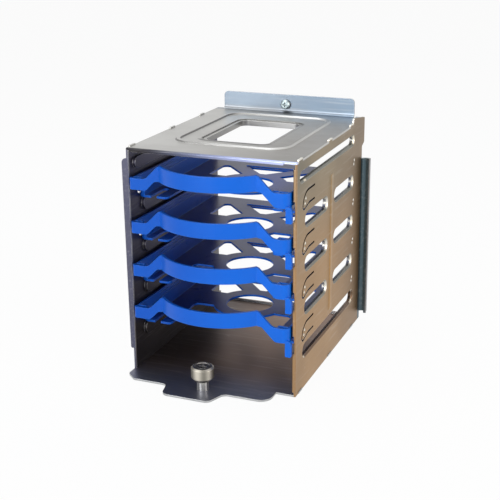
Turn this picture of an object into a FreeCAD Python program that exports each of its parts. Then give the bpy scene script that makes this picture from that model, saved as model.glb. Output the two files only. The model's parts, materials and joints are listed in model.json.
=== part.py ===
"""Four-bay hot swap drive cage: four sheet metal panels, four moulded drive trays,
a captive thumbscrew on the base tongue and a screw in the rear mounting flange.

Millimetres.  X runs across the cage (0 on its centre plane), Y runs back from the
front edges of the side panels (0), Z runs up from the underside of the base (0).
Each sub-part is built by its own function and written to parts/NODE.step.
"""
import FreeCAD, Part
import math
import os

V = FreeCAD.Vector

# ---------------------------------------------------------------- driving dimensions
CAGE_WIDTH = 112.0          # over the side panels
SHEET = 1.2                 # zinc plated steel sheet
BAYS = 4
BAY_PITCH = 28.4            # one 26.1 mm drive, its tray floor and air
HEADROOM = 36.0             # height of the cage beyond its bays
CAGE_HEIGHT = BAYS * BAY_PITCH + HEADROOM
TOP_DEPTH = 143.4           # top panel beside its upstand
WALL_DEPTH = TOP_DEPTH - 5.4        # side panels below the ear
FOOT_DEPTH = TOP_DEPTH - 2.4        # rear face of the right panel's flange
BASE_DEPTH = TOP_DEPTH - 4.4
DRIVE_WIDTH = 101.6

HALF = CAGE_WIDTH / 2
INNER = HALF - SHEET        # inner faces of the side panels
ROOF = CAGE_HEIGHT - SHEET  # underside of the top panel

# runners: slots whose rims are drawn inwards
ROW_Z = 24.8                # centre of the lowest row
RUNNER_HALF = 4.0           # half height of the slot itself
RUNNER_WALL = 0.8           # thickness of the drawn rim
RUNNER_DRAW = 2.0           # how far the rim stands into the cage
RUNNER_EDGE = 1.1           # slope where the rim leaves the outer face
FRONT_RUNNER = (16.4, 59.8)
REAR_RUNNER = (75.0, 117.0)
LOW_RUNNER = (13.6, 121.6)
TOP_SLOT = (6.4, 117.6)
TOP_SLOT_HALF = 2.9
TOP_SLOT_Z = CAGE_HEIGHT - 10.7
BEAD_Y = 68.0               # stiffening bead between the runners
BEAD_HALF = 3.6
BEAD_HEIGHT = 0.7
BEAD_SLOPE = 1.9

# spring fingers, heights measured from the row below the bay
FINGER_CUT = 1.2
FINGER_ROOT = 33.6
FINGER_TOP = 18.6
FINGER_FOOT = 10.0
PIP_RADIUS = 1.2
PIP_TAPER = 0.6
PIP_SIDES = 8
CATCH_PIP = 0.5             # standing in on the fingers
STOP_PIP = 1.0              # standing in at the back of each bay
CATCH_PIPS = ((16.5, 14.0), (15.3, 11.0))
STOP_PIPS = ((118.3, 11.7), (119.3, 14.2))

# side panel edges
HEM_DEPTH = 7.0
HEM_GAP = (-0.8, 10.8)      # notch in the hem where a tray's runners pass, from the tray
EAR_DROP = 19.4             # ear of the side panels, from the top face to its foot
EAR_FRONT = 116.5
EAR_RISE = 4.4              # right ear above the top face at its front end
FLANGE_BEND = 3.0           # inside radius of the right panel's rear flange
FLANGE_REACH = 5.8          # how far it stands out
FLANGE_HEM = 1.9
FLANGE_Z = (6.0, CAGE_HEIGHT - 28.3)
LEFT_FLANGE_Z = (15.5, CAGE_HEIGHT - 6.6)
SIDE_TABS_Y = (7.0, 64.5, 112.5)
SIDE_TAB = 7.0
SIDE_TAB_RISE = 0.9
BASE_TABS_Y = (9.0, 69.0, 121.0)
BASE_TAB = 7.0
BASE_TAB_PROUD = 0.3
SEAT = 0.05                 # clearance round tabs in their slots

# tray
TRAY_FIT = 0.2              # tray side to runner rim
TRAY_LIFT = 0.1             # tray underside to the rim it slides on
TRAY_SKIN = 1.4
RAIL_WALL = 1.5
RAIL_HEIGHT = 16.3
TRAY_FRONT = 13.5
TRAY_REAR = 122.0
STRAP_FACE = -4.0           # front of the strap at its ends
STRAP_WALL = 1.7
STRAP_BOW = 14.0            # how far its middle stands forward
STRAP_HEIGHT = 9.6
KNEE_X = 32.0
STRAP_RISE = 16.2           # underside of the strap above the tray's underside
LEFT_BLOCK = (9.6, 16.9, 1.8)       # foot and top of the block the strap springs from, corner radius
RIGHT_BLOCK = (7.1, 16.4, 4.6)
BLOCK_END = 44.6            # inner side of its hollow, which a web closes before the drive
BLOCK_WEB_Y = -0.1
LOW_RUNNER_TOP = 5.0
LATCH_RUNNER = (17.9, 116.9)        # second runner of the rail, which stops at the pips
LATCH_RUNNER_Z = (5.6, 9.8)
GROOVES = (30.0, 112.0)
GROOVES_Z = (10.8, 13.6)
FLOOR_SIDE = 35.0           # half width of the floor's openings
FRONT_GAP_END = 53.0
REAR_GAP = (77.0, 105.0)
SPOKE_PLACE = (7.7, 88.0)   # a point on the centre line of the right-hand spoke
SPOKE_TURN = 42.4           # its angle from the Y axis
SPOKE_HALF = 5.4
REST_RIB = (19.0, 107.4, 109.0)
RING_Y = 65.0
RING_HOLE = 16.0
RING_OUTER = 25.0
DRIVE_FRONT = 1.5           # front end of the drive
DRIVE_HOLES = (16.9, 118.5) # its side holes, from that end
DRIVE_HOLE_RISE = 6.35      # and from its underside
DRIVE_REST = 0.6            # low rib it lies on
PIN_RADIUS = 1.4
PIN_HEAD = 2.4
PIN_ENTRY = 2.0             # how far a pin enters the drive

# thumbscrew
SCREW_X = -1.8
SCREW_Y = -11.2
KNOB_RADIUS = 7.25
KNOB_BASE = 7.1
KNOB_TOP = 16.6
KNOB_DISH = 0.6             # hollow in its top
SLEEVE_RADIUS = 3.9
SLEEVE_TOP = KNOB_BASE + 0.9
SLEEVE_BORE = 3.0
SHANK_RADIUS = 2.0
RUNNING = 0.1
CLIP_STEP = 4.0             # underside of the step in the sleeve that stops the clip
STEP_HEIGHT = 1.0
CLIP_BORE = 1.5
CLIP_HEIGHT = 0.7
PLUG_RADIUS = 3.4           # screw head pressed into the knob
HEAD_PROUD = 0.2            # screw head above the hollow in the knob
SPRING_SEAT = CLIP_STEP + STEP_HEIGHT
SPRING_TOP = KNOB_TOP - 2.6
SPRING_WIRE = 0.22
SPRING_TURNS = 6

# rear upstand of the top panel
UPSTAND_FACE = TOP_DEPTH - 2.3
UPSTAND_TOP = CAGE_HEIGHT + 12.8
UPSTAND_LEFT = -49.8
UPSTAND_RIGHT = 48.8
UPSTAND_BEND = 2.3
FLANGE_SCREW_X = -1.9
FLANGE_SCREW_Z = CAGE_HEIGHT + 5.9
FLANGE_SHANK = 1.75
FLANGE_HEAD = 3.4
FLANGE_NUT = 3.5
FLANGE_NUT_HEIGHT = 1.2

# opening in the top panel and the raised bead round it
WINDOW_HALF = 21.6
WINDOW_Y = (41.0, 107.4)
WINDOW_COLLAR = 3.0
BEAD_OUT = (39.6, 25.4, 128.6)      # half width, front end, rear end of the top panel's bead
TOP_BEAD = 4.0
TOP_BEAD_HEIGHT = 1.0

TRAY_SIDE = INNER - RUNNER_DRAW - TRAY_FIT
RIM_HALF = RUNNER_HALF + RUNNER_WALL


# ---------------------------------------------------------------- small builders
def box(x0, x1, y0, y1, z0, z1):
    return Part.makeBox(x1 - x0, y1 - y0, z1 - z0, V(x0, y0, z0))


def rod(radius, start, along):
    return Part.makeCylinder(radius, along.Length, start, along)


def fused(shapes):
    shapes = list(shapes)
    body = shapes[0]
    if len(shapes) > 1:
        body = body.multiFuse(shapes[1:])
    return body.removeSplitter()


def less(body, cutters):
    cutters = list(cutters)
    return body.cut(cutters) if cutters else body


def polygon(points):
    return Part.Face(Part.makePolygon(list(points) + [points[0]]))


def rounded_points(points, radii):
    """Closed wire through the points with each corner rounded to its own radius."""
    edges = []
    ends = []
    count = len(points)
    for i in range(count):
        corner = points[i]
        before = (points[i - 1] - corner).normalize()
        after = (points[(i + 1) % count] - corner).normalize()
        radius = radii[i]
        if radius <= 0:
            ends.append((corner, corner))
            continue
        half_angle = before.getAngle(after) / 2
        setback = radius / math.tan(half_angle)
        middle = (before + after).normalize()
        centre = corner + middle * (radius / math.sin(half_angle))
        start = corner + before * setback
        stop = corner + after * setback
        crest = centre - middle * radius
        edges.append(Part.Arc(start, crest, stop).toShape())
        ends.append((start, stop))
    for i in range(count):
        start = ends[i][1]
        stop = ends[(i + 1) % count][0]
        if (stop - start).Length > 1e-6:
            edges.append(Part.makeLine(start, stop))
    return Part.Wire(Part.__sortEdges__(edges))


def plate(points, radii, rise):
    if not isinstance(radii, (list, tuple)):
        radii = [radii] * len(points)
    return Part.Face(rounded_points(points, radii)).extrude(rise)


def rounded_slab(x0, x1, y0, y1, z0, z1, radius):
    corners = [V(x0, y0, z0), V(x1, y0, z0), V(x1, y1, z0), V(x0, y1, z0)]
    return plate(corners, radius, V(0, 0, z1 - z0))


def side_slot(x0, x1, y0, y1, z, half):
    """Round-ended bar lying along Y, from x0 to x1."""
    corners = [V(x0, y0, z - half), V(x0, y1, z - half), V(x0, y1, z + half), V(x0, y0, z + half)]
    return plate(corners, half - 0.01, V(x1 - x0, 0, 0))


def turned(profile, centre, along=V(0, 0, 1)):
    """Solid of revolution from (radius, height) points, stood on centre."""
    face = polygon([V(r, 0, h) for r, h in profile])
    solid = face.revolve(V(0, 0, 0), V(0, 0, 1), 360)
    solid.Placement = FreeCAD.Placement(centre, FreeCAD.Rotation(V(0, 0, 1), along))
    return solid


def pip(face_x, y, z, height):
    """Coined pip with eight sides, standing out of the plane x = face_x towards -X."""
    rings = []
    for step in (0.0, height):
        radius = PIP_RADIUS - PIP_TAPER * step
        corners = []
        for i in range(PIP_SIDES):
            turn = 2 * math.pi * (i + 0.5) / PIP_SIDES
            corners.append(V(face_x - step, y + radius * math.cos(turn), z + radius * math.sin(turn)))
        rings.append(Part.makePolygon(corners + corners[:1]))
    return Part.makeLoft(rings, True)


def edges_on(shape, test):
    return [edge for edge in shape.Edges if test(edge)]


def mirrored(shape):
    return shape.mirror(V(0, 0, 0), V(1, 0, 0))


def row_z(row):
    return ROW_Z + row * BAY_PITCH


def tray_z(bay):
    """Underside of the tray that slides on the given row of runners."""
    return row_z(bay) + RIM_HALF + TRAY_LIFT


def pin_places():
    return [DRIVE_FRONT + y for y in DRIVE_HOLES]


def pin_rise():
    return TRAY_SKIN + DRIVE_REST + DRIVE_HOLE_RISE


# ---------------------------------------------------------------- side panels
def runner_places():
    """(start, end, height, half height) of every runner on one side panel."""
    places = [(LOW_RUNNER[0], LOW_RUNNER[1], row_z(0), RUNNER_HALF)]
    for row in range(1, BAYS):
        for start, end in (FRONT_RUNNER, REAR_RUNNER):
            places.append((start, end, row_z(row), RUNNER_HALF))
    places.append((TOP_SLOT[0], TOP_SLOT[1], TOP_SLOT_Z, TOP_SLOT_HALF))
    return places


def runner_rims():
    return [side_slot(INNER - RUNNER_DRAW, INNER + 0.2, start - RUNNER_WALL, end + RUNNER_WALL, z,
                      half + RUNNER_WALL) for start, end, z, half in runner_places()]


def runner_cuts(depth):
    """Openings of the runners, cut from the outer face to the given depth."""
    cuts = []
    for start, end, z, half in runner_places():
        slot = side_slot(HALF - depth, HALF + 0.01, start, end, z, half)
        mouth = side_slot(HALF - RUNNER_EDGE, HALF + 0.01, start - RUNNER_EDGE, end + RUNNER_EDGE, z,
                          half + RUNNER_EDGE)
        throat = edges_on(mouth, lambda edge: edge.BoundBox.XMax < HALF - RUNNER_EDGE + 0.001)
        cuts.append(mouth.makeChamfer(RUNNER_EDGE - 0.02, throat).fuse(slot))
    return cuts


def finger_cut(row):
    """C-shaped cut that frees one spring finger, its root towards the back."""
    base = row_z(row)
    x = INNER - 0.5

    def at(y, z):
        return V(x, y, base + z)

    nose_top = at(12.9, 14.4)
    nose_end = at(11.4, 11.0)
    chin = at(14.8, 7.9)
    edges = [
        Part.makeLine(at(FINGER_ROOT + 4, FINGER_TOP), at(23.0, FINGER_TOP)),
        Part.Arc(at(23.0, FINGER_TOP), at(17.2, 17.6), nose_top).toShape(),
        Part.makeLine(nose_top, nose_end),
        Part.Arc(nose_end, at(12.2, 8.5), chin).toShape(),
        Part.Arc(chin, at(18.8, 8.9), at(23.5, FINGER_FOOT)).toShape(),
        Part.makeLine(at(23.5, FINGER_FOOT), at(FINGER_ROOT + 4, FINGER_FOOT)),
        Part.makeLine(at(FINGER_ROOT + 4, FINGER_FOOT), at(FINGER_ROOT + 4, FINGER_TOP)),
    ]
    face = Part.Face(Part.Wire(edges))
    band = face.makeOffset2D(FINGER_CUT / 2).cut(face.makeOffset2D(-FINGER_CUT / 2))
    cut = band.extrude(V(SHEET + 1.0, 0, 0))
    return cut.common(box(x - 1, HALF + 1, 0, FINGER_ROOT, base, base + BAY_PITCH))


def pips():
    """(domes to add inside, dents to take from outside) for catches and stops."""
    domes = []
    dents = []
    for row in range(BAYS):
        marks = [(y, z, CATCH_PIP) for y, z in CATCH_PIPS] + [(y, z, STOP_PIP) for y, z in STOP_PIPS]
        for y, z, height in marks:
            domes.append(pip(INNER, y, row_z(row) + z, height))
            dents.append(pip(HALF, y, row_z(row) + z, height))
    return domes, dents


def stiffening_bead():
    """Upright bead with sloped sides, pressed outwards between the two columns of runners."""
    low = row_z(0) + 8.0
    high = row_z(BAYS - 1) + 18.0
    rings = []
    for x, inset in ((HALF - 0.3, 0.0), (HALF + BEAD_HEIGHT, BEAD_SLOPE)):
        half = BEAD_HALF - inset
        corners = [V(x, BEAD_Y - half, low + inset), V(x, BEAD_Y + half, low + inset),
                   V(x, BEAD_Y + half, high - inset), V(x, BEAD_Y - half, high - inset)]
        rings.append(Part.makePolygon(corners + corners[:1]))
    return Part.makeLoft(rings, True)


def tab_slots(x0, x1):
    return [box(x0, x1, y - BASE_TAB / 2 - SEAT, y + BASE_TAB / 2 + SEAT, -0.01, SHEET + SEAT)
            for y in BASE_TABS_Y]


def side_outline():
    """Flat side panel with its tabs, ear and stepped rear edge, at x from INNER to HALF."""
    points = [
        V(INNER, 0, 0),
        V(INNER, FOOT_DEPTH, 0),
        V(INNER, FOOT_DEPTH, 6.0),
        V(INNER, WALL_DEPTH, 6.0),
        V(INNER, WALL_DEPTH, CAGE_HEIGHT - EAR_DROP),
        V(INNER, TOP_DEPTH, CAGE_HEIGHT - EAR_DROP + 2.0),
        V(INNER, TOP_DEPTH, ROOF),
        V(INNER, 0, ROOF),
    ]
    radii = [0, 0, 0, 0, 1.0, 1.5, 0, 0]
    panel = plate(points, radii, V(SHEET, 0, 0))
    tabs = [box(INNER, HALF, y - SIDE_TAB / 2, y + SIDE_TAB / 2, ROOF - 0.5,
                CAGE_HEIGHT + SIDE_TAB_RISE) for y in SIDE_TABS_Y]
    return fused([panel] + tabs)


def right_side_panel():
    ear = plate([V(INNER, EAR_FRONT, ROOF - 0.5), V(INNER, TOP_DEPTH, ROOF - 0.5),
                 V(INNER, TOP_DEPTH, CAGE_HEIGHT + 0.4), V(INNER, EAR_FRONT, CAGE_HEIGHT + EAR_RISE)],
                [0, 0, 1.6, 2.5], V(SHEET, 0, 0))
    hem = box(INNER - SHEET, INNER + 0.1, 0, HEM_DEPTH, 3.0, ROOF - 3.0)
    wall = fused([side_outline(), ear, hem])
    nose = edges_on(wall, lambda edge: edge.BoundBox.YMax < 0.001 and edge.Length > 100)
    wall = wall.makeFillet(0.7, nose)
    notches = [box(INNER - SHEET - 1, INNER, -1, HEM_DEPTH + 1, tray_z(bay) + HEM_GAP[0],
                   tray_z(bay) + HEM_GAP[1]) for bay in range(BAYS)]
    wall = less(wall, notches)
    domes, dents = pips()
    wall = fused([wall, rear_flange(), stiffening_bead()] + runner_rims() + domes)
    cuts = runner_cuts(SHEET + RUNNER_DRAW + 0.5) + dents + tab_slots(INNER - 2, HALF + 1)
    cuts += [finger_cut(row) for row in range(BAYS)]
    return less(wall, cuts)


def rear_flange():
    """Outward flange along the rear of the right panel, its edge folded back on itself."""
    face = FOOT_DEPTH - SHEET
    root = face - FLANGE_BEND
    outside = FLANGE_BEND + SHEET
    lean = 1 - math.sqrt(0.5)
    tip = HALF + FLANGE_REACH
    profile = [
        Part.Arc(V(HALF, root, 0), V(HALF + FLANGE_BEND * lean, face - FLANGE_BEND * lean, 0),
                 V(HALF + FLANGE_BEND, face, 0)).toShape(),
        Part.makeLine(V(HALF + FLANGE_BEND, face, 0), V(tip, face, 0)),
        Part.makeLine(V(tip, face, 0), V(tip, FOOT_DEPTH, 0)),
        Part.makeLine(V(tip, FOOT_DEPTH, 0), V(INNER + outside, FOOT_DEPTH, 0)),
        Part.Arc(V(INNER + outside, FOOT_DEPTH, 0), V(INNER + outside * lean, FOOT_DEPTH - outside * lean, 0),
                 V(INNER, root, 0)).toShape(),
        Part.makeLine(V(INNER, root, 0), V(HALF, root, 0)),
    ]
    bend = Part.Face(Part.Wire(Part.__sortEdges__(profile)))
    low, high = FLANGE_Z
    strip = bend.extrude(V(0, 0, high - low))
    strip.translate(V(0, 0, low))
    fold = box(tip - FLANGE_HEM, tip, face - SHEET, face + 0.1, low - 1.2, high)
    return strip.fuse(fold)


def left_side_panel():
    """Mirror of the right panel, but with closed runners and a front flange."""
    domes, dents = pips()
    wall = fused([side_outline(), stiffening_bead()] + runner_rims() + domes)
    cuts = runner_cuts(SHEET + RUNNER_DRAW - RUNNER_WALL) + dents + tab_slots(INNER - 2, HALF + 1)
    cuts += [finger_cut(row) for row in range(BAYS)]
    wall = less(wall, cuts)
    low, high = LEFT_FLANGE_Z
    flange = plate([V(INNER, 0, low), V(HALF + 2.0, 0, low), V(HALF + 3.4, 0, high), V(INNER, 0, high)],
                   [0, 1.0, 3.0, 0], V(0, SHEET, 0))
    return mirrored(fused([wall, flange]))


# ---------------------------------------------------------------- top panel
def top_panel():
    slab = box(-HALF, HALF, 0, TOP_DEPTH, ROOF, CAGE_HEIGHT)
    notch = 1.0
    behind = box(UPSTAND_LEFT - notch, UPSTAND_RIGHT + notch, UPSTAND_FACE - UPSTAND_BEND,
                 TOP_DEPTH + 1, ROOF - 1, CAGE_HEIGHT + 1)
    lip = box(-HALF + 2.0, 47.5, 0, SHEET, CAGE_HEIGHT - 2.3, CAGE_HEIGHT - 0.2)
    tab_gaps = []
    for side in (-1, 1):
        for y in SIDE_TABS_Y:
            x0, x1 = sorted((side * (INNER - SEAT), side * (HALF + 1)))
            tab_gaps.append(box(x0, x1, y - SIDE_TAB / 2 - SEAT, y + SIDE_TAB / 2 + SEAT,
                                ROOF - 1, CAGE_HEIGHT + 1))
    ear_gap = box(INNER - SEAT, HALF + 1, EAR_FRONT - SEAT, TOP_DEPTH + 1, ROOF - 1, CAGE_HEIGHT + 1)
    slab = less(slab, [behind, ear_gap] + tab_gaps)
    body = fused([slab, lip, upstand()])
    front = edges_on(body, lambda edge: edge.BoundBox.YMax < 0.001
                     and edge.BoundBox.ZMin > CAGE_HEIGHT - 0.001)
    body = body.makeFillet(0.9, front)

    half, front_end, rear_end = BEAD_OUT
    outside = rounded_slab(-half, half, front_end, rear_end, CAGE_HEIGHT - 0.2, CAGE_HEIGHT + TOP_BEAD_HEIGHT, 14.0)
    inside = rounded_slab(TOP_BEAD - half, half - TOP_BEAD, front_end + TOP_BEAD, rear_end - TOP_BEAD,
                          CAGE_HEIGHT - 1, CAGE_HEIGHT + 2, 14.0 - TOP_BEAD)
    bead = less(outside, [inside])
    crest = edges_on(bead, lambda edge: edge.BoundBox.ZMin > CAGE_HEIGHT + TOP_BEAD_HEIGHT - 0.01)
    bead = bead.makeChamfer(0.9, crest)

    def window(grow, z0, z1):
        return rounded_slab(-WINDOW_HALF - grow, WINDOW_HALF + grow, WINDOW_Y[0] - grow, WINDOW_Y[1] + grow,
                            z0, z1, 5.0 + grow)

    collar = window(SHEET - 0.3, ROOF - WINDOW_COLLAR, ROOF + 0.1)
    step = window(2.6, CAGE_HEIGHT - 0.6, CAGE_HEIGHT + 1)
    body = fused([body, bead, collar])
    hole = rod(FLANGE_SHANK + RUNNING, V(FLANGE_SCREW_X, UPSTAND_FACE - 1, FLANGE_SCREW_Z), V(0, 4, 0))
    return less(body, [step, window(0, ROOF - 5, CAGE_HEIGHT + 1), hole])


def upstand():
    """Wide flange that leaves the top face through a soft bend and stands upright."""
    back = UPSTAND_FACE + SHEET
    inside = UPSTAND_BEND
    outside = UPSTAND_BEND + SHEET
    start = back - outside
    lean = math.sqrt(0.5)
    upper = V(0, UPSTAND_FACE, CAGE_HEIGHT + inside)
    profile = [
        Part.makeLine(V(0, start, ROOF), V(0, start, CAGE_HEIGHT)),
        Part.Arc(V(0, start, CAGE_HEIGHT),
                 V(0, start + inside * lean, CAGE_HEIGHT + inside * (1 - lean)), upper).toShape(),
        Part.makeLine(upper, V(0, UPSTAND_FACE, UPSTAND_TOP)),
        Part.makeLine(V(0, UPSTAND_FACE, UPSTAND_TOP), V(0, back, UPSTAND_TOP)),
        Part.makeLine(V(0, back, UPSTAND_TOP), V(0, back, CAGE_HEIGHT + inside)),
        Part.Arc(V(0, back, CAGE_HEIGHT + inside),
                 V(0, start + outside * lean, CAGE_HEIGHT + inside - outside * lean),
                 V(0, start, ROOF)).toShape(),
    ]
    sheet = Part.Face(Part.Wire(profile)).extrude(V(UPSTAND_RIGHT - UPSTAND_LEFT, 0, 0))
    sheet.translate(V(UPSTAND_LEFT, 0, 0))
    corners = edges_on(sheet, lambda edge: edge.BoundBox.ZMin > UPSTAND_TOP - 0.001
                       and edge.BoundBox.XLength < 0.001)
    return sheet.makeFillet(3.0, corners)


# ---------------------------------------------------------------- base panel
def base_panel():
    """Floor of the cage with the front tongue that carries the thumbscrew."""
    points = [
        V(INNER, 0, 0), V(INNER, BASE_DEPTH, 0), V(-INNER, BASE_DEPTH, 0), V(-INNER, 0, 0),
        V(-HALF, 0, 0), V(-HALF, -8.0, 0), V(-49.4, -14.0, 0), V(-26.0, -14.0, 0),
        V(-23.0, -27.2, 0), V(8.6, -27.2, 0), V(13.6, -14.0, 0), V(43.2, -14.0, 0), V(43.2, 0, 0),
    ]
    radii = [0, 0, 0, 0, 0, 3.0, 3.0, 3.5, 5.0, 5.0, 5.0, 8.0, 0]
    floor = plate(points, radii, V(0, 0, SHEET))
    rear_lip = box(-52.0, 52.0, BASE_DEPTH - SHEET, BASE_DEPTH, SHEET - 0.1, SHEET + 1.6)
    tabs = []
    for side in (-1, 1):
        for y in BASE_TABS_Y:
            x0, x1 = sorted((side * (INNER - 0.5), side * (HALF + BASE_TAB_PROUD)))
            tabs.append(box(x0, x1, y - BASE_TAB / 2, y + BASE_TAB / 2, 0, SHEET))
    seat = rod(SLEEVE_RADIUS + 0.02, V(SCREW_X, SCREW_Y, -1), V(0, 0, 4))
    return less(fused([floor, rear_lip] + tabs), [seat])


# ---------------------------------------------------------------- trays
def tray_floor(z):
    """Perforated floor: a ring on two cross bars and two rear spokes, open at the front."""
    side = FLOOR_SIDE
    skin = plate([V(-TRAY_SIDE, TRAY_FRONT, z), V(-side, TRAY_FRONT, z), V(-side, FRONT_GAP_END, z),
                  V(side, FRONT_GAP_END, z), V(side, TRAY_FRONT, z), V(TRAY_SIDE, TRAY_FRONT, z),
                  V(TRAY_SIDE, TRAY_REAR, z), V(-TRAY_SIDE, TRAY_REAR, z)],
                 [0, 3.0, 4.0, 4.0, 3.0, 0, 0, 0], V(0, 0, TRAY_SKIN))
    skin = less(skin, [rounded_slab(-side, side, REAR_GAP[0], REAR_GAP[1], z - 1, z + 3, 3.0)])
    ring = rod(RING_OUTER, V(0, RING_Y, z), V(0, 0, TRAY_SKIN))
    spoke = box(-SPOKE_HALF, SPOKE_HALF, -18.0, 46.0, 0, TRAY_SKIN)
    spoke.Placement = FreeCAD.Placement(V(SPOKE_PLACE[0], SPOKE_PLACE[1], z),
                                        FreeCAD.Rotation(V(0, 0, 1), -SPOKE_TURN))
    spoke = spoke.common(box(-side, side, RING_Y, REAR_GAP[1] + 0.5, z, z + TRAY_SKIN))
    body = fused([skin, ring, spoke, mirrored(spoke)])
    cuts = [rod(RING_HOLE, V(0, RING_Y, z - 1), V(0, 0, TRAY_SKIN + 2))]
    for sign in (-1, 1):
        x0, x1 = sorted((sign * 42.6, sign * 46.8))
        cuts.append(rounded_slab(x0, x1, TRAY_FRONT - 4, 33.0, z - 1, z + 3, 2.0))
    body = less(body, cuts)
    half, rib_front, rib_rear = REST_RIB
    return fused([body, box(-half, half, rib_front, rib_rear, z + TRAY_SKIN - 0.1, z + TRAY_SKIN + DRIVE_REST)])


def tray_rail(z, block):
    """Right-hand rail: wall, two outer runners, inner grooves and the arm to its end block."""
    outer = TRAY_SIDE
    inner = TRAY_SIDE - RAIL_WALL
    top = z + RAIL_HEIGHT
    arm = z + block[0] + 1.0
    arm_front = STRAP_FACE + block[2]
    wall = plate([V(inner, arm_front, arm), V(inner, TRAY_FRONT, arm),
                  V(inner, TRAY_FRONT, z), V(inner, TRAY_REAR, z), V(inner, TRAY_REAR, top - 3),
                  V(inner, TRAY_REAR - 6, top), V(inner, arm_front, top)],
                 [0, 1.0, 0, 0, 1.5, 4.0, 0], V(RAIL_WALL, 0, 0))
    low_runner = box(outer - 0.1, INNER - 0.3, TRAY_FRONT + 1.0, TRAY_REAR, z, z + LOW_RUNNER_TOP)
    latch_runner = box(outer - 0.1, INNER - 0.6, LATCH_RUNNER[0], LATCH_RUNNER[1],
                       z + LATCH_RUNNER_Z[0], z + LATCH_RUNNER_Z[1])
    cuts = [box(inner - 0.1, inner + 0.4, GROOVES[0], GROOVES[1], z + h, z + h + 1.2) for h in GROOVES_Z]
    for y in pin_places():
        cuts.append(rod(PIN_RADIUS + 0.02, V(inner - 2, y, z + pin_rise()), V(6, 0, 0)))
        room = PIN_HEAD + TRAY_FIT
        cuts.append(box(outer, outer + 4, y - room, y + room, z + pin_rise() - room, z + pin_rise() + room))
    return less(fused([wall, low_runner, latch_runner]), cuts)


def end_block(z, block):
    """Right-hand block across the front of the rail, with the slanting rise to the strap."""
    outer = TRAY_SIDE
    foot = z + block[0]
    head = z + block[1]
    radius = block[2]
    face = STRAP_FACE
    back = face + STRAP_WALL
    corner = plate([V(outer, face, foot), V(outer, face + radius + 1.0, foot),
                    V(outer - RAIL_WALL, face + radius + 1.0, foot), V(outer - RAIL_WALL, back, foot),
                    V(45.0, back, foot), V(45.0, face, foot)],
                   [radius, 0, 0, max(radius - RAIL_WALL, 0), 0, 0], V(0, 0, head - foot))
    web = box(BLOCK_END, outer - RAIL_WALL + 0.1, BLOCK_WEB_Y, BLOCK_WEB_Y + 1.2, foot, head)
    cheek = box(BLOCK_END, BLOCK_END + 1.2, back - 0.1, BLOCK_WEB_Y + 1.2, foot, head)
    low = z + STRAP_RISE
    high = low + STRAP_HEIGHT
    knee = KNEE_X + 3.2
    shoulder = KNEE_X + 1.2
    rise = plate([V(46.0, face, foot), V(knee + low - 0.5 - foot, face, foot), V(knee, face, low - 0.5),
                  V(KNEE_X - 0.6, face, low), V(KNEE_X - 0.6, face, high), V(shoulder, face, high - 0.6),
                  V(shoulder + high - 0.6 - head, face, head), V(46.0, face, head)],
                 [0, 3.0, 2.0, 0, 0, 1.5, 5.0, 0], V(0, STRAP_WALL, 0))
    return fused([corner, web, cheek, rise])


def strap(z):
    """Bowed grip across the front, an arc in plan between the two knees."""
    face = STRAP_FACE
    low = z + STRAP_RISE
    outer_radius = (KNEE_X ** 2 + STRAP_BOW ** 2) / (2 * STRAP_BOW)
    inner_radius = outer_radius - STRAP_WALL
    centre_y = face - STRAP_BOW + outer_radius
    angle = math.asin(KNEE_X / outer_radius)
    sweep = (-angle, 0.0, angle)

    def arc(radius, turns):
        points = [V(radius * math.sin(a), centre_y - radius * math.cos(a), low) for a in turns]
        return Part.Arc(*points).toShape(), points

    front, front_points = arc(outer_radius, sweep)
    rear, rear_points = arc(inner_radius, sweep)
    band = Part.Wire(Part.__sortEdges__([
        front, rear,
        Part.makeLine(front_points[0], rear_points[0]),
        Part.makeLine(front_points[2], rear_points[2])]))
    bow = Part.Face(band).extrude(V(0, 0, STRAP_HEIGHT))
    knees = []
    for side in (-1, 1):
        x = side * (KNEE_X - 0.6)
        knees.append(rod(STRAP_WALL / 2, V(x, face + STRAP_WALL / 2, low), V(0, 0, STRAP_HEIGHT)))
    return fused([bow] + knees)


def finger_tab(z):
    """Pad below the right-hand end block, pressed down to let the tray go."""
    outer = TRAY_SIDE + 1.5
    inner = TRAY_SIDE - 2.3
    pad = plate([V(inner, 0, z - 1.8), V(outer, 0, z - 1.8), V(outer, 0, z + 5.8),
                 V(outer - 1.2, 0, z + 8.6), V(inner, 0, z + 8.0)], [0.6, 0.6, 0.6, 0.6, 0],
                V(0, 2.6, 0))
    pad.translate(V(0, STRAP_FACE + 0.3, 0))
    stem = box(inner, TRAY_SIDE, STRAP_FACE + 0.6, STRAP_FACE + RIGHT_BLOCK[2], z + RIGHT_BLOCK[0] - 0.6,
               z + RIGHT_BLOCK[0] + 0.6)
    return fused([pad, stem])


def tray(bay):
    z = tray_z(bay)
    left = fused([tray_rail(z, LEFT_BLOCK), end_block(z, LEFT_BLOCK)])
    right = fused([tray_rail(z, RIGHT_BLOCK), end_block(z, RIGHT_BLOCK), finger_tab(z)])
    return fused([tray_floor(z), right, mirrored(left), strap(z)])


def drive_pins(bay):
    """Four steel pins that enter the side holes of the drive."""
    z = tray_z(bay) + pin_rise()
    tip = DRIVE_WIDTH / 2 - PIN_ENTRY
    shank = TRAY_SIDE - tip
    profile = [(0, 0), (PIN_RADIUS, 0), (PIN_RADIUS, shank), (PIN_HEAD, shank), (PIN_HEAD, shank + 0.9),
               (0, shank + 0.9)]
    pins = []
    for y in pin_places():
        pin = turned(profile, V(tip, y, z), V(1, 0, 0))
        pins += [pin, mirrored(pin)]
    return Part.makeCompound(pins)


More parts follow.
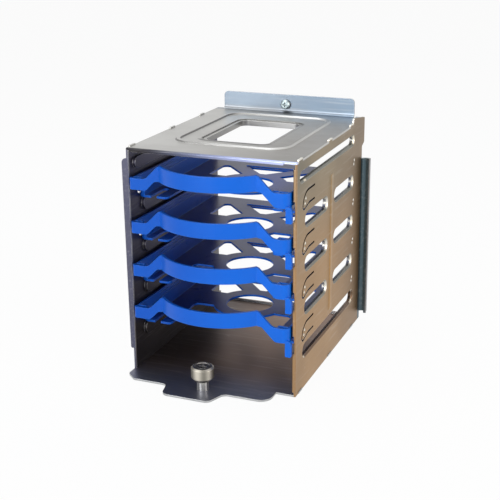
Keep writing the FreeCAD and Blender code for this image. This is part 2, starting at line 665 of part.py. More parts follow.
# ---------------------------------------------------------------- fasteners
def cross_recess(size, depth):
    """Cutter for a cross recess, centred on the origin and pointing down."""
    arm = size / 5
    bars = []
    for x, y in ((size, arm), (arm, size)):
        top = Part.makePolygon([V(-x / 2, -y / 2, 0.01), V(x / 2, -y / 2, 0.01), V(x / 2, y / 2, 0.01),
                                V(-x / 2, y / 2, 0.01), V(-x / 2, -y / 2, 0.01)])
        s = 0.45
        low = Part.makePolygon([V(-x / 2 * s, -y / 2 * s, -depth), V(x / 2 * s, -y / 2 * s, -depth),
                                V(x / 2 * s, y / 2 * s, -depth), V(-x / 2 * s, y / 2 * s, -depth),
                                V(-x / 2 * s, -y / 2 * s, -depth)])
        bars.append(Part.makeLoft([top, low], True))
    return bars[0].fuse(bars[1])


def screw_axis():
    return V(SCREW_X, SCREW_Y, 0)


def thumbscrew_sleeve():
    profile = [
        (SLEEVE_BORE, 0), (SLEEVE_RADIUS, 0), (SLEEVE_RADIUS, SLEEVE_TOP), (SLEEVE_BORE, SLEEVE_TOP),
        (SLEEVE_BORE, SPRING_SEAT), (SHANK_RADIUS + RUNNING, SPRING_SEAT),
        (SHANK_RADIUS + RUNNING, CLIP_STEP), (SLEEVE_BORE, CLIP_STEP),
    ]
    return turned(profile, screw_axis())


def thumbscrew_knob():
    bore = SLEEVE_RADIUS + 0.3
    floor = KNOB_TOP - KNOB_DISH
    profile = [
        (bore, KNOB_BASE), (KNOB_RADIUS - 2.2, KNOB_BASE), (KNOB_RADIUS, KNOB_BASE + 2.4),
        (KNOB_RADIUS, KNOB_TOP - 1.0), (KNOB_RADIUS - 1.0, KNOB_TOP), (KNOB_RADIUS - 2.1, KNOB_TOP),
        (KNOB_RADIUS - 2.4, floor), (PLUG_RADIUS, floor), (PLUG_RADIUS, SPRING_TOP), (bore, SPRING_TOP),
    ]
    return turned(profile, screw_axis())


def thumbscrew_screw():
    """Screw pressed into the knob, its tip just inside the sleeve until the knob is pressed."""
    tip = 0.6
    groove_top = CLIP_STEP
    groove_foot = groove_top - CLIP_HEIGHT - RUNNING
    top = KNOB_TOP - KNOB_DISH + HEAD_PROUD
    profile = [
        (0, tip), (SHANK_RADIUS - 0.6, tip), (SHANK_RADIUS, tip + 0.8), (SHANK_RADIUS, groove_foot),
        (CLIP_BORE - RUNNING / 2, groove_foot), (CLIP_BORE - RUNNING / 2, groove_top),
        (SHANK_RADIUS, groove_top), (SHANK_RADIUS, SPRING_TOP), (PLUG_RADIUS, SPRING_TOP),
        (PLUG_RADIUS, top), (0, top),
    ]
    screw = turned(profile, screw_axis())
    recess = cross_recess(5.2, 1.5)
    recess.translate(screw_axis() + V(0, 0, top))
    return less(screw, [recess])


def thumbscrew_clip():
    """Open retaining ring in the groove of the screw, stopped by the step in the sleeve."""
    top = CLIP_STEP - RUNNING / 2
    low = top - CLIP_HEIGHT
    rim = SLEEVE_BORE - 0.25
    ring = turned([(CLIP_BORE, low), (rim, low), (rim, top), (CLIP_BORE, top)], screw_axis())
    return less(ring, [box(SCREW_X, SCREW_X + 5, SCREW_Y - 1.0, SCREW_Y + 1.0, low - 1, CLIP_STEP + 1)])


def thumbscrew_spring():
    coil = (SHANK_RADIUS + SLEEVE_BORE) / 2
    foot = SPRING_SEAT + SPRING_WIRE + 0.05
    length = SPRING_TOP - SPRING_WIRE - 0.05 - foot
    sides = 10
    path = []
    for i in range(SPRING_TURNS * sides + 1):
        turn = 2 * math.pi * i / sides
        path.append(V(coil * math.cos(turn), coil * math.sin(turn), length * i / (SPRING_TURNS * sides)))
    along = path[1] - path[0]
    up = V(0, 0, 1)
    out = along.cross(up).normalize()
    over = out.cross(along).normalize()
    corners = []
    for i in range(6):
        turn = math.pi / 3 * i
        corners.append(path[0] + (out * math.cos(turn) + over * math.sin(turn)) * SPRING_WIRE)
    section = Part.makePolygon(corners + [corners[0]])
    spring = Part.makePolygon(path).makePipeShell([section], True, False, 1)
    spring.translate(screw_axis() + V(0, 0, foot))
    return spring


def flange_screw():
    """Cross recess screw that clamps on the clinch nut in front of the upstand."""
    seat = V(FLANGE_SCREW_X, UPSTAND_FACE - FLANGE_NUT_HEIGHT, FLANGE_SCREW_Z)
    head = turned([(0, 0), (FLANGE_HEAD, 0), (FLANGE_HEAD, 0.9), (FLANGE_HEAD - 1.0, 2.0), (0, 2.0)],
                  seat, V(0, -1, 0))
    length = FLANGE_NUT_HEIGHT + SHEET + 3.0
    shank = turned([(0, -0.1), (FLANGE_SHANK, -0.1), (FLANGE_SHANK, length - 0.5),
                    (FLANGE_SHANK - 0.5, length), (0, length)], seat, V(0, 1, 0))
    recess = cross_recess(3.6, 1.4)
    recess.Placement = FreeCAD.Placement(seat + V(0, -2.0, 0), FreeCAD.Rotation(V(0, 0, 1), V(0, -1, 0)))
    return less(fused([head, shank]), [recess])


def flange_nut():
    """Round clinch nut on the front of the upstand, under the head of the screw."""
    seat = V(FLANGE_SCREW_X, UPSTAND_FACE, FLANGE_SCREW_Z)
    bore = FLANGE_SHANK + 0.02
    profile = [(bore, 0), (FLANGE_NUT, 0), (FLANGE_NUT, FLANGE_NUT_HEIGHT), (bore, FLANGE_NUT_HEIGHT)]
    return turned(profile, seat, V(0, -1, 0))


# ---------------------------------------------------------------- write every node
def main():
    nodes = {
        "left_side_panel": left_side_panel(),
        "right_side_panel": right_side_panel(),
        "top_panel": top_panel(),
        "base_panel": base_panel(),
        "thumbscrew_sleeve": thumbscrew_sleeve(),
        "thumbscrew_knob": thumbscrew_knob(),
        "thumbscrew_screw": thumbscrew_screw(),
        "thumbscrew_clip": thumbscrew_clip(),
        "thumbscrew_spring": thumbscrew_spring(),
        "flange_screw": flange_screw(),
        "flange_nut": flange_nut(),
    }
    for bay in range(BAYS):
        number = BAYS - bay
        nodes["tray_%d" % number] = tray(bay)
        nodes["drive_pins_%d" % number] = drive_pins(bay)
    os.makedirs("parts", exist_ok=True)
    for name, shape in nodes.items():
        shape.exportStep("parts/%s.step" % name)


main()
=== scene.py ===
"""Looks for the four-bay hot swap drive cage: zinc plated sheet, blue moulded trays,
a nickel plated captive thumbscrew, on a pale studio floor."""
import bpy
import json
import math
from mathutils import Matrix, Vector


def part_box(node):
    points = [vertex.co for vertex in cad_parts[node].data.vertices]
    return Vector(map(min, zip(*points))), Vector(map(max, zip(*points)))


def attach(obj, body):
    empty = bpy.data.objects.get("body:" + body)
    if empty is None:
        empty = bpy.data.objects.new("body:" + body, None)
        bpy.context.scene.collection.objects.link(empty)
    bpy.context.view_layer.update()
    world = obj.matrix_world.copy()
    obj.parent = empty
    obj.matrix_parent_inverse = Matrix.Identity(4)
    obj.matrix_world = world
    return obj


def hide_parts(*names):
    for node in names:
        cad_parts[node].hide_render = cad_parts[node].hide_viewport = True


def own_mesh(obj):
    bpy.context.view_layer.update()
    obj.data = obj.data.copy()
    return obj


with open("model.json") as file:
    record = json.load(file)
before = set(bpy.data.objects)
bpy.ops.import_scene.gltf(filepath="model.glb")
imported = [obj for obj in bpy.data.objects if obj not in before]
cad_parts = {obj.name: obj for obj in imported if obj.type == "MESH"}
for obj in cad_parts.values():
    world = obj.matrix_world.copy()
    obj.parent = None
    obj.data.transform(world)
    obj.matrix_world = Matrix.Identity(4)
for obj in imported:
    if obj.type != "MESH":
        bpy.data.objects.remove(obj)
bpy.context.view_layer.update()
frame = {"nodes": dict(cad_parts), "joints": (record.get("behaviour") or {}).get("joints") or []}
nodes = frame["nodes"]
bays = sorted(name for name in nodes if name.startswith("tray_"))


# ------------------------------------------------------------------ shader maths
class Value:
    """A number that varies over a surface; expressions on it add Math nodes."""

    def __init__(self, shading, socket):
        self.shading = shading
        self.socket = socket

    def math(self, operation, *others):
        values = dict(enumerate((self, *others)))
        return self.shading.value("ShaderNodeMath", {"operation": operation}, values)

    def __add__(self, other):
        return self.math("ADD", other)

    def __radd__(self, other):
        return self.math("ADD", other)

    def __sub__(self, other):
        return self.math("SUBTRACT", other)

    def __rsub__(self, other):
        return (self * -1.0) + other

    def __mul__(self, other):
        return self.math("MULTIPLY", other)

    def __rmul__(self, other):
        return self.math("MULTIPLY", other)

    def __truediv__(self, other):
        return self.math("DIVIDE", other)

    def ramp(self, low, high):
        """0 up to low, 1 from high on, smooth between."""
        return self.shading.value("ShaderNodeMapRange", {"interpolation_type": "SMOOTHSTEP"},
                                  {"Value": self, "From Min": low, "From Max": high})

    def drop(self, low, high):
        """1 up to low, 0 from high on, smooth between."""
        return 1.0 - self.ramp(low, high)

    def wave(self):
        """Sine, lifted to run from 0 to 1."""
        return self.math("SINE") * 0.5 + 0.5

    def band(self, low, high, soft):
        """1 between low and high, falling off softly on both sides."""
        return self.ramp(low - soft, low + soft) * self.drop(high - soft, high + soft)


class Shading:
    """The nodes of a material or of the world."""

    def __init__(self, owner):
        owner.use_nodes = True
        self.tree = owner.node_tree
        self.tree.nodes.clear()

    def node(self, kind, settings=None, values=None):
        """One node: its settings first, then the values or links of its sockets."""
        made = self.tree.nodes.new(kind)
        for key, setting in (settings or {}).items():
            setattr(made, key, setting)
        for key, value in (values or {}).items():
            self.feed(made.inputs[key], value)
        return made

    def feed(self, socket, value):
        if isinstance(value, Value):
            value = value.socket
        if isinstance(value, bpy.types.NodeSocket):
            self.tree.links.new(value, socket)
        elif socket.type == "RGBA":
            socket.default_value = (*value, 1.0)
        else:
            socket.default_value = value

    def value(self, kind, settings, values):
        return Value(self, self.node(kind, settings, values).outputs[0])


class Finish(Shading):
    """One material of the object."""

    def __init__(self, name):
        self.material = bpy.data.materials.new(name)
        super().__init__(self.material)
        self.shader = self.node("ShaderNodeBsdfPrincipled")
        self.node("ShaderNodeOutputMaterial", None, {"Surface": self.shader.outputs[0]})

    def set(self, **values):
        """Feeds the shader's sockets, named with _ for each space."""
        for key, value in values.items():
            self.feed(self.shader.inputs[key.replace("_", " ")], value)

    def split(self, vector):
        """The three numbers of a vector."""
        parts = self.node("ShaderNodeSeparateXYZ", None, {0: vector})
        return [Value(self, parts.outputs[i]) for i in range(3)]

    def place(self):
        """Where a point of the surface is, in the part's frame."""
        return self.node("ShaderNodeTexCoord").outputs["Object"]

    def normal(self):
        """Which way the surface faces."""
        return self.node("ShaderNodeNewGeometry").outputs["Normal"]

    def noise(self, scale, detail, stretch=(1, 1, 1), roughness=0.5):
        mapping = self.node("ShaderNodeMapping", {"vector_type": "POINT"},
                            {"Vector": self.place(), "Scale": stretch})
        return self.value("ShaderNodeTexNoise", {"noise_dimensions": "3D"},
                          {"Vector": mapping.outputs[0], "Scale": scale, "Detail": detail,
                           "Roughness": roughness})

    def mix(self, factor, first, second):
        """Colour that goes from the first to the second as the factor goes from 0 to 1."""
        values = {0: factor, 6: first, 7: second}
        return self.node("ShaderNodeMix", {"data_type": "RGBA"}, values).outputs[2]

    def coats(self, body, *coats):
        """The body colour under coats, each a mask and a colour, the last on top."""
        for mask, colour in coats:
            body = self.mix(mask, body, colour)
        return body

    def soft_edges(self, radius):
        """Normal rounded over the edges, and a mask that is 1 on the edges."""
        bevel = self.node("ShaderNodeBevel", {"samples": 6}, {"Radius": radius}).outputs[0]
        dot = self.node("ShaderNodeVectorMath", {"operation": "DOT_PRODUCT"}, {0: bevel, 1: self.normal()})
        return bevel, (1.0 - Value(self, dot.outputs["Value"])).ramp(0.01, 0.18)

    def relief(self, height, distance, strength, normal):
        return self.node("ShaderNodeBump", None, {"Height": height, "Distance": distance,
                                                  "Strength": strength, "Normal": normal}).outputs[0]


def srgb(red, green, blue):
    """Linear colour from 0-255 display values."""
    out = []
    for level in (red, green, blue):
        level = level / 255
        out.append(level / 12.92 if level <= 0.04045 else ((level + 0.055) / 1.055) ** 2.4)
    return tuple(out)


def darker(colour, share):
    """The colour at a share of its light."""
    return tuple(share * level for level in colour)


def dress(name, finish):
    """Puts the finish on every material slot of a CAD node."""
    mesh = nodes[name].data
    if not mesh.materials:
        mesh.materials.append(finish.material)
    for i in range(len(mesh.materials)):
        mesh.materials[i] = finish.material


# ------------------------------------------------------------------ places on the cage, in metres
tray_feet = [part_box(name)[0].z for name in bays]
bay_pitch = (max(tray_feet) - min(tray_feet)) / (len(bays) - 1)
wall_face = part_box("top_panel")[1].x        # outer face of the side walls
plate_top = 0.1496                          # top face of the cage
row_low = 0.0248                            # middle of the lowest row of slots in the walls
finger_rise = (0.33, 0.68)                  # foot and top of a finger's cuts above its row, in bay pitches
finger_depth = (0.01, 0.0348)               # where those cuts begin and end behind the front
bead_depth = (0.0644, 0.0716)               # front and rear edge of the walls' stiffening bead
catch_dimples = (0.0141, 0.0178)            # front and rear edge of the dimples on the fingers
stop_dimples = (0.1168, 0.1206)             # and of those that stop the trays
window_half = (0.0216, 0.0332)              # half width and half depth of the top panel's window
window_middle = 0.0742                      # its middle behind the front
window_corner = 0.005                       # its corner radius

sheared = srgb(228, 228, 224)
# painted shade for the gaps round the spring fingers
cut_painted_shade = srgb(14, 12, 12)


# ------------------------------------------------------------------ zinc plated sheet
def finger_area(place):
    """1 where the spring fingers are cut out of a side wall."""
    row = ((place[2] - row_low) / bay_pitch).math("FRACT")
    return row.band(*finger_rise, 0.005) * place[1].band(*finger_depth, 0.0003)


def finger_cuts(place, facing):
    """1 on the cut faces round the spring fingers."""
    return finger_area(place) * facing[0].drop(0.1, 0.2)


def rounded_distance(across, along, half_width, half_length, corner):
    """Distance outward from a rectangle with round corners, centred on zero."""
    past = (across.math("ABSOLUTE") - (half_width - corner)).math("MAXIMUM", 0.0)
    beyond = (along.math("ABSOLUTE") - (half_length - corner)).math("MAXIMUM", 0.0)
    return (past * past + beyond * beyond).math("SQRT") - corner


def plain_rim(finish, place):
    """Bright sheared edges."""
    return sheared


def wall_rim(finish, place):
    """Bright sheared edges, with painted shade along the cuts of the fingers."""
    return finish.mix(finger_area(place), sheared, srgb(22, 19, 18))


def sheet_finish(name, tones, grain, rim=plain_rim):
    """Zinc plated sheet: the given tones with their painted light and shade, rolled grain, faint clouding,
    fine scuffs and bright sheared edges.
    """
    finish = Finish(name)
    place = finish.split(finish.place())
    # how squarely the surface faces each axis, from 0 to 1
    facing = [side.math("ABSOLUTE") for side in finish.split(finish.normal())]
    clouds = finish.noise(30.0, 4.0)
    streaks = finish.noise(520.0, 3.0, grain)
    specks = finish.noise(1700.0, 2.0)
    scuffs = finish.noise(95.0, 5.0, tuple(0.35 + 0.65 * step for step in grain), 0.7)
    rounded, edge = finish.soft_edges(0.0003)
    body = finish.coats(
        tones(finish, place, facing),
        (clouds.ramp(0.35, 0.75) * 0.16, srgb(96, 92, 92)),
        (streaks.ramp(0.5, 0.8) * 0.14, srgb(214, 212, 208)),
        (scuffs.ramp(0.62, 0.72) * 0.10, srgb(226, 224, 220)),
        (edge * 0.7, rim(finish, place)))
    finish.set(Base_Color=body, Metallic=0.85, Roughness=0.27 + clouds * 0.16 + streaks * 0.08)
    finish.set(Normal=finish.relief(streaks * 0.6 + specks * 0.4, 0.00002, 0.35, rounded))
    return finish


def right_wall_tones(finish, place, facing):
    """Wall in a warm painted reflection, with painted light on the slopes round its slots, painted
    highlights on its nose, bead, dimples and tabs, and painted blue-grey shade on its rear flange.
    """
    x, y, z = place
    nose = y.drop(0.001, 0.0016)
    slope = facing[0].drop(0.86, 0.97) * x.drop(wall_face, wall_face + 0.0001)
    # painted reflection on the slopes round the slots: silver, a painted highlight where they face the
    # front, painted shade low down
    slope_painted_light = finish.coats(
        srgb(122, 124, 118),
        (facing[1].ramp(0.25, 0.85), srgb(236, 234, 226)),
        (z.drop(0.033, 0.034), srgb(104, 80, 60)))
    bead = y.band(*bead_depth, 0.0003) * x.ramp(wall_face + 0.0001, wall_face + 0.0006)
    sunk = x.band(wall_face - 0.00105, wall_face - 0.00015, 0.00005) * facing[0].ramp(0.5, 0.8)
    dimples = sunk * (y.band(*catch_dimples, 0.0001) + y.band(*stop_dimples, 0.0001))
    tabs = z.ramp(plate_top, plate_top + 0.0002) * y.drop(0.115, 0.116)
    flange = z.drop(0.1215, 0.1225) * y.ramp(0.1362, 0.137)
    flange_fold = x.ramp(wall_face + 0.0048, wall_face + 0.0052)
    return finish.coats(
        # the base and the next three coats are a warm painted reflection, darker towards the top and rear,
        # greyer at the top front
        srgb(159, 122, 74),
        (z.ramp(0.07, 0.14), srgb(134, 117, 88)),
        (y.ramp(0.06, 0.14) * 0.6, srgb(118, 93, 66)),
        (y.drop(0.004, 0.04) * z.ramp(0.115, 0.145) * 0.6, srgb(92, 90, 76)),
        (slope * (1.0 - nose) * 0.9, slope_painted_light),
        # painted highlights on the nose, the bead's crown and the dimples
        (nose * 0.6, srgb(168, 134, 100)),
        (bead * 0.2, srgb(206, 174, 138)),
        (dimples * 0.9, srgb(244, 232, 208)),
        # painted shade in the finger cuts, a painted highlight on the tabs through the top
        (finger_cuts(place, facing), cut_painted_shade),
        (tabs * 0.8, srgb(232, 228, 218)),
        # painted blue-grey shade on the rear flange, a painted highlight on its outer fold
        (flange, srgb(76, 94, 102)),
        (flange_fold * flange, srgb(140, 140, 142)))


def left_wall_tones(finish, place, facing):
    """Grey wall with painted shade on its inner face, tabs painted as pale as the lit plate, and painted
    shade on the cool front flange.
    """
    x, y, z = place
    # painted shade on the inner face, a little lighter towards the top
    inner_painted_shade = finish.mix(z.ramp(0.02, 0.13), srgb(74, 70, 74), srgb(86, 84, 100))
    front = y.drop(0.0012, 0.0016)
    return finish.coats(
        srgb(150, 148, 148),
        (x.ramp(0.0004 - wall_face, 0.0009 - wall_face), inner_painted_shade),
        # painted shade in the finger cuts, and tabs through the top painted as pale as the lit plate
        (finger_cuts(place, facing), cut_painted_shade),
        (z.ramp(plate_top - 0.0003, plate_top), srgb(188, 187, 184)),
        # painted shade on the front flange, a painted highlight where it rounds off
        (front, srgb(84, 85, 104)),
        (front * facing[1].drop(0.5, 0.9), srgb(196, 196, 196)))


def top_tones(finish, place, facing):
    """Plate with painted light: pale, painted darker to the right, a front lip painted from near black to
    pale, painted light on the bead slopes, a painted blue-grey reflection on the upstand, and a window
    with a painted highlight on its rim in a ring of painted shade."""
    x, y, z = place
    upstand = z.ramp(plate_top + 0.001, plate_top + 0.004)
    # painted reflection on the upstand, darker to the right
    upstand_painted_reflection = finish.mix(x.ramp(-0.05, 0.05), srgb(136, 149, 163), srgb(114, 130, 146))
    lip = y.drop(0.0012, 0.0022) * (1.0 - upstand)
    # painted light along the front lip: near black at the left, pale at the right
    lip_painted_light = finish.mix(x.ramp(-0.05, 0.06), srgb(8, 6, 18), srgb(166, 175, 212))
    # painted shade in the bend up into the upstand
    fold = y.ramp(0.1375, 0.139) * z.drop(plate_top + 0.002, plate_top + 0.004)
    slope = facing[2].drop(0.8, 0.95) * (1.0 - upstand) * (1.0 - lip) * y.drop(0.133, 0.135)
    # painted light on the bead slopes: shade at the left, highlight at the right
    slope_painted_light = finish.mix(x.ramp(-0.035, 0.03), srgb(104, 103, 101), srgb(206, 206, 204))
    left_bead = x.band(-0.044, -0.034, 0.0005) * y.band(0.032, 0.122, 0.004)
    # painted shade in a ring round the window, wider in front, and a painted highlight on the window's rim
    reach = rounded_distance(x, y - window_middle, *window_half, window_corner)
    ring = reach.band(0.0018, 0.0032, 0.0003) + reach.band(0.0032, 0.0058, 0.0004) * y.drop(0.0395, 0.041)
    window_rim = reach.drop(-0.0004, 0.0001) * facing[2].drop(0.3, 0.6)
    return finish.coats(
        srgb(175, 174, 171),
        # painted shade to the right, and a bluish painted reflection at the rear right
        (x.ramp(-0.05, 0.055), srgb(130, 127, 123)),
        (y.ramp(0.11, 0.145) * x.ramp(-0.03, 0.05), srgb(158, 172, 186)),
        (upstand, upstand_painted_reflection),
        (lip, lip_painted_light),
        (fold * 0.45, srgb(104, 118, 134)),
        (slope * 0.7, slope_painted_light),
        # painted shade on the slopes of the bead's left side
        (slope * left_bead * 0.8, srgb(92, 90, 90)),
        (ring * 0.75, srgb(46, 44, 42)),
        (window_rim * 0.9, srgb(252, 251, 248)))


def base_tones(finish, place, facing):
    """Floor: cool on the tongue in front, a warm brown painted reflection inside, painted shade to the
    left, pale sheared rim.
    """
    x, y = place[:2]
    # painted shade inside, towards the left
    left = x.drop(-0.045, 0.01) * y.ramp(-0.002, 0.03)
    return finish.coats(
        srgb(104, 107, 124),
        # warm brown painted reflection inside the cage
        (y.ramp(-0.012, 0.03), srgb(124, 99, 84)),
        (left * 0.75, srgb(36, 32, 36)),
        (facing[2].drop(0.3, 0.6), srgb(172, 174, 176)))


along_y = (1, 0.06, 1)                      # grain drawn out along one axis
along_x = (0.06, 1, 1)
dress("right_side_panel", sheet_finish("right_panel_zinc", right_wall_tones, along_y, wall_rim))
dress("left_side_panel", sheet_finish("left_panel_zinc", left_wall_tones, along_y, wall_rim))
dress("top_panel", sheet_finish("top_panel_zinc", top_tones, along_x))
dress("base_panel", sheet_finish("base_panel_zinc", base_tones, along_x))


# ------------------------------------------------------------------ trays, pins and thumbscrew
def tray_plastic(name):
    """Blue injection moulded plastic with flow ripples, a fine grain, painted light along x, painted shade
    on the floors and painted highlights on the edges.
    """
    finish = Finish(name)
    ripple = finish.noise(60.0, 3.0)
    flow = finish.noise(16.0, 2.0, (1, 0.35, 1))
    grain = finish.noise(2600.0, 2.0)
    rounded, edge = finish.soft_edges(0.0005)
    x, y = finish.split(finish.place())[:2]
    facing_up = finish.split(finish.normal())[2]
    # painted shade on the floors of the trays
    floor = facing_up.ramp(0.9, 0.98) * y.ramp(0.004, 0.03)
    colour = finish.coats(
        srgb(4, 76, 178),
        # the flow noise is the plastic's own tone; the ramp along x is painted light, paler and bluer to
        # the right
        (flow * 0.5 + x.ramp(-0.05, 0.05) * 0.5, srgb(6, 108, 226)),
        (floor * 0.85, srgb(0, 16, 96)),
        # painted highlight on the edges
        (edge * 0.4, srgb(92, 156, 244)))
    finish.set(Specular_IOR_Level=0.24)
    finish.set(Base_Color=colour, Roughness=0.22 + ripple * 0.10 + grain * 0.05)
    finish.set(Normal=finish.relief(grain * 0.4 + ripple * 0.6, 0.00003, 0.25, rounded))
    return finish


def turned_metal(name, colour, line, grooves, roughness=0.24, reflection_stripes=None, knurl=None):
    """Lathe-turned metal with fine grooves in rings round a line, given as a point and Y or Z.

    The stripes given are the count, phase and strength of dark stripes of painted reflection round the
    turn; edges get a painted highlight. A knurl is its count of teeth, the radius of the rim, the rim's
    foot and top, and the radius of the dish in the top."""
    finish = Finish(name)
    x, y, z = finish.split(finish.place())
    (line_x, line_y, line_z), lengthwise = line
    across = x - line_x
    side = (y - line_y) if lengthwise == "Z" else (z - line_z)
    radius = (across * across + side * side).math("SQRT")
    turn = across.math("ARCTAN2", side)
    wear = finish.noise(300.0, 3.0)
    rounded, edge = finish.soft_edges(0.00025)
    body = finish.mix(wear * 0.35, colour, darker(colour, 0.55))
    # dark stripes of painted reflection round the turn
    if reflection_stripes:
        stripes, phase, strength = reflection_stripes
        body = finish.mix((turn * stripes + phase).wave() * strength, body, darker(colour, 0.3))
    # painted highlight on the edges
    body = finish.mix(edge * 0.6, body, srgb(240, 238, 232))
    height = (radius * grooves).wave() * 0.15
    if knurl:
        teeth, rim, foot, top, dish_radius = knurl
        ridges = (turn * teeth).wave()
        grip = radius.ramp(rim - 0.0003, rim) * z.band(foot, top, 0.0002)
        dish = radius.drop(dish_radius - 0.0002, dish_radius) * z.ramp(top, top + 0.0002)
        height = height + ridges * grip * 0.25
        # painted shade between the knurl's ridges; the dish in the top is painted dark grey
        body = finish.coats(
            body,
            ((1.0 - ridges) * grip * 0.10, darker(colour, 0.3)),
            (dish * 0.85, srgb(96, 94, 96)))
    finish.set(Base_Color=body, Metallic=1.0, Roughness=roughness + wear * 0.12)
    finish.set(Normal=finish.relief(height, 0.0001, 0.8, rounded))
    return finish


plastic = tray_plastic("tray_blue")
pin_steel = turned_metal("pin_steel", srgb(190, 190, 192), ((0, 0, 0), "Y"), 9000)
for bay in bays:
    dress(bay, plastic)
    dress("drive_pins_" + bay.split("_")[1], pin_steel)

knob_low, knob_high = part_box("thumbscrew_knob")
knob_middle = (knob_low + knob_high) / 2
knob_radius = (knob_high.x - knob_low.x) / 2
knob_line = (knob_middle, "Z")
knurl = (96, knob_radius, knob_low.z + 0.0026, knob_high.z - 0.0012, knob_radius - 0.0012)
# the stripes on the knob and the sleeve are painted reflection
knob_nickel = turned_metal("knob_nickel", srgb(214, 208, 194), knob_line, 9000, roughness=0.4,
                           reflection_stripes=(5.0, 1.13, 0.9), knurl=knurl)
sleeve_nickel = turned_metal("sleeve_nickel", srgb(250, 248, 236), knob_line, 6000,
                             reflection_stripes=(12.0, -1.78, 0.6))
dress("thumbscrew_knob", knob_nickel)
dress("thumbscrew_sleeve", sleeve_nickel)
dress("thumbscrew_screw", turned_metal("screw_dark_steel", srgb(88, 86, 88), knob_line, 7000, 0.4))
dress("thumbscrew_clip", turned_metal("clip_spring_steel", srgb(150, 150, 154), knob_line, 5000))

flange_low, flange_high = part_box("flange_screw")
flange_line = ((flange_low + flange_high) / 2, "Y")
dress("flange_screw", turned_metal("flange_screw_steel", srgb(164, 178, 182), flange_line, 5000, 0.3))
dress("flange_nut", turned_metal("flange_nut_steel", srgb(96, 104, 108), flange_line, 5000, 0.36))


# ------------------------------------------------------------------ spring of the thumbscrew
def coil_spring(name, low, high, wire_radius, turns):
    """Closed tube of round wire wound to fill the box between two corners."""
    coil_radius = (high.x - low.x) / 2 - wire_radius
    foot = Vector(((low.x + high.x) / 2, (low.y + high.y) / 2, low.z + wire_radius))
    rise = high.z - low.z - 2 * wire_radius
    sides = 8
    steps = turns * 24
    points = []
    faces = []
    for i in range(steps + 1):
        turn = 2 * math.pi * turns * i / steps
        outward = Vector((math.cos(turn), math.sin(turn), 0))
        for k in range(sides):
            around = 2 * math.pi * k / sides
            level = Vector((0, 0, rise * i / steps + wire_radius * math.sin(around)))
            points.append(foot + outward * (coil_radius + wire_radius * math.cos(around)) + level)
            if i < steps:
                first = i * sides + k
                second = i * sides + (k + 1) % sides
                faces.append((first, first + sides, second + sides, second))
    faces.append(tuple(range(sides)))
    faces.append(tuple(reversed(range(steps * sides, (steps + 1) * sides))))
    mesh = bpy.data.meshes.new(name)
    mesh.from_pydata(points, [], faces)
    for face in mesh.polygons:
        face.use_smooth = len(face.vertices) == 4
    coil = bpy.data.objects.new(name, mesh)
    bpy.context.scene.collection.objects.link(coil)
    return coil


spring_low, spring_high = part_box("thumbscrew_spring")
spring_height = spring_high.z - spring_low.z
press = next(joint for joint in frame["joints"] if joint["name"] == "thumbscrew_press")
press_travel = press["range_m"][1]
wire_radius = 0.00022
spring_turns = 6
spring = coil_spring("captive_spring", spring_low, spring_high, wire_radius, spring_turns)
spring.data.materials.append(turned_metal("spring_wire", srgb(170, 170, 172), knob_line, 3000).material)
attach(spring, "cage")
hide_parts("thumbscrew_spring")
(spring_height - press_travel) / spring_height
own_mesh(spring)


# ------------------------------------------------------------------ studio
def white_to_the_eye(shading, lit, seen):
    """Lights the object as one shader; the camera, gloss and glass see the other."""
    path = shading.node("ShaderNodeLightPath").outputs
    straight, glossy, through = [Value(shading, path["Is " + kind + " Ray"])
                                 for kind in ("Camera", "Glossy", "Transmission")]
    eye = straight.math("MAXIMUM", glossy).math("MAXIMUM", through)
    return shading.node("ShaderNodeMixShader", None, {0: eye, 1: lit, 2: seen}).outputs[0]


def studio_world():
    """Dim soft light from all round, which looks white."""
    world = bpy.data.worlds.new("studio")
    shading = Shading(world)
    lit = shading.node("ShaderNodeBackground", None, {"Color": (0.95, 0.97, 1.0), "Strength": 0.22})
    seen = shading.node("ShaderNodeBackground", None, {"Color": (1.0, 1.0, 1.0), "Strength": 1.0})
    surface = white_to_the_eye(shading, lit.outputs[0], seen.outputs[0])
    shading.node("ShaderNodeOutputWorld", None, {"Surface": surface})
    bpy.context.scene.world = world


def studio_floor():
    """Pale matt floor just under the cage; it looks nearly white and keeps a faint shadow."""
    bpy.ops.mesh.primitive_plane_add(size=8.0, location=(0, 0, -0.0002))
    floor = bpy.context.object
    floor.name = "studio_floor"
    material = bpy.data.materials.new("studio_floor")
    shading = Shading(material)
    matt = shading.node("ShaderNodeBsdfDiffuse", None, {"Color": (0.86, 0.86, 0.86)})
    glow = shading.node("ShaderNodeEmission", None, {"Strength": 1.0})
    seen = shading.node("ShaderNodeMixShader", None, {0: 0.95, 1: matt.outputs[0], 2: glow.outputs[0]})
    surface = white_to_the_eye(shading, matt.outputs[0], seen.outputs[0])
    shading.node("ShaderNodeOutputMaterial", None, {"Surface": surface})
    floor.data.materials.append(material)


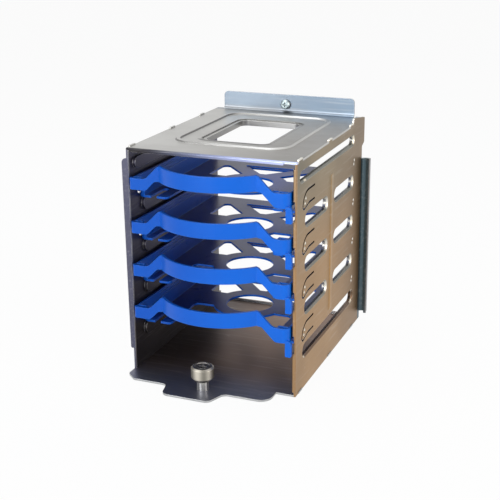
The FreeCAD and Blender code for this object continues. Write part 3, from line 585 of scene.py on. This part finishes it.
def softbox(name, place, aim, size, power, colour=(1, 1, 1)):
    """Large soft lamp that shines from its place at a point."""
    lamp = bpy.data.lights.new(name, "AREA")
    lamp.shape = "RECTANGLE"
    lamp.size, lamp.size_y = size
    lamp.energy = power
    lamp.color = colour
    stand = bpy.data.objects.new(name, lamp)
    stand.location = place
    stand.rotation_euler = (Vector(aim) - Vector(place)).to_track_quat("-Z", "Y").to_euler()
    bpy.context.scene.collection.objects.link(stand)


def studio_camera(place, azimuth, elevation, roll, lens, shift):
    """Camera at a place, with its angles in degrees; the azimuth goes from the front to the right."""
    azimuth, elevation, roll = (math.radians(angle) for angle in (azimuth, elevation, roll))
    ahead = Vector((-math.sin(azimuth) * math.cos(elevation), math.cos(azimuth) * math.cos(elevation),
                    -math.sin(elevation)))
    level = Vector((math.cos(azimuth), math.sin(azimuth), 0))
    upward = level.cross(ahead)
    right = level * math.cos(roll) + upward * math.sin(roll)
    up = upward * math.cos(roll) - level * math.sin(roll)
    camera = bpy.data.cameras.new("studio_camera")
    camera.sensor_width = 36.0
    camera.lens = lens
    camera.shift_y = shift
    camera.dof.use_dof = False
    holder = bpy.data.objects.new("studio_camera", camera)
    turn = Matrix((right, up, -ahead)).transposed().to_4x4()
    holder.matrix_world = Matrix.Translation(place) @ turn
    bpy.context.scene.collection.objects.link(holder)
    bpy.context.scene.camera = holder


studio_world()
studio_floor()
softbox("key", place=(-0.25, -1.05, 0.32), aim=(0, 0, 0.09), size=(0.7, 0.4), power=8.0)
softbox("top", place=(-0.15, 0.15, 0.95), aim=(0, 0.07, 0.1), size=(0.7, 0.7), power=4.5,
        colour=(0.95, 0.98, 1.0))
softbox("side", place=(0.9, -0.15, 0.35), aim=(0, 0.05, 0.08), size=(0.6, 0.6), power=4.0,
        colour=(1.0, 0.95, 0.88))
studio_camera(place=(0.249364, -0.55509, 0.293638), azimuth=21.884, elevation=16.899, roll=-0.334,
              lens=75.09, shift=-0.06)
bpy.context.scene.view_settings.view_transform = "Standard"
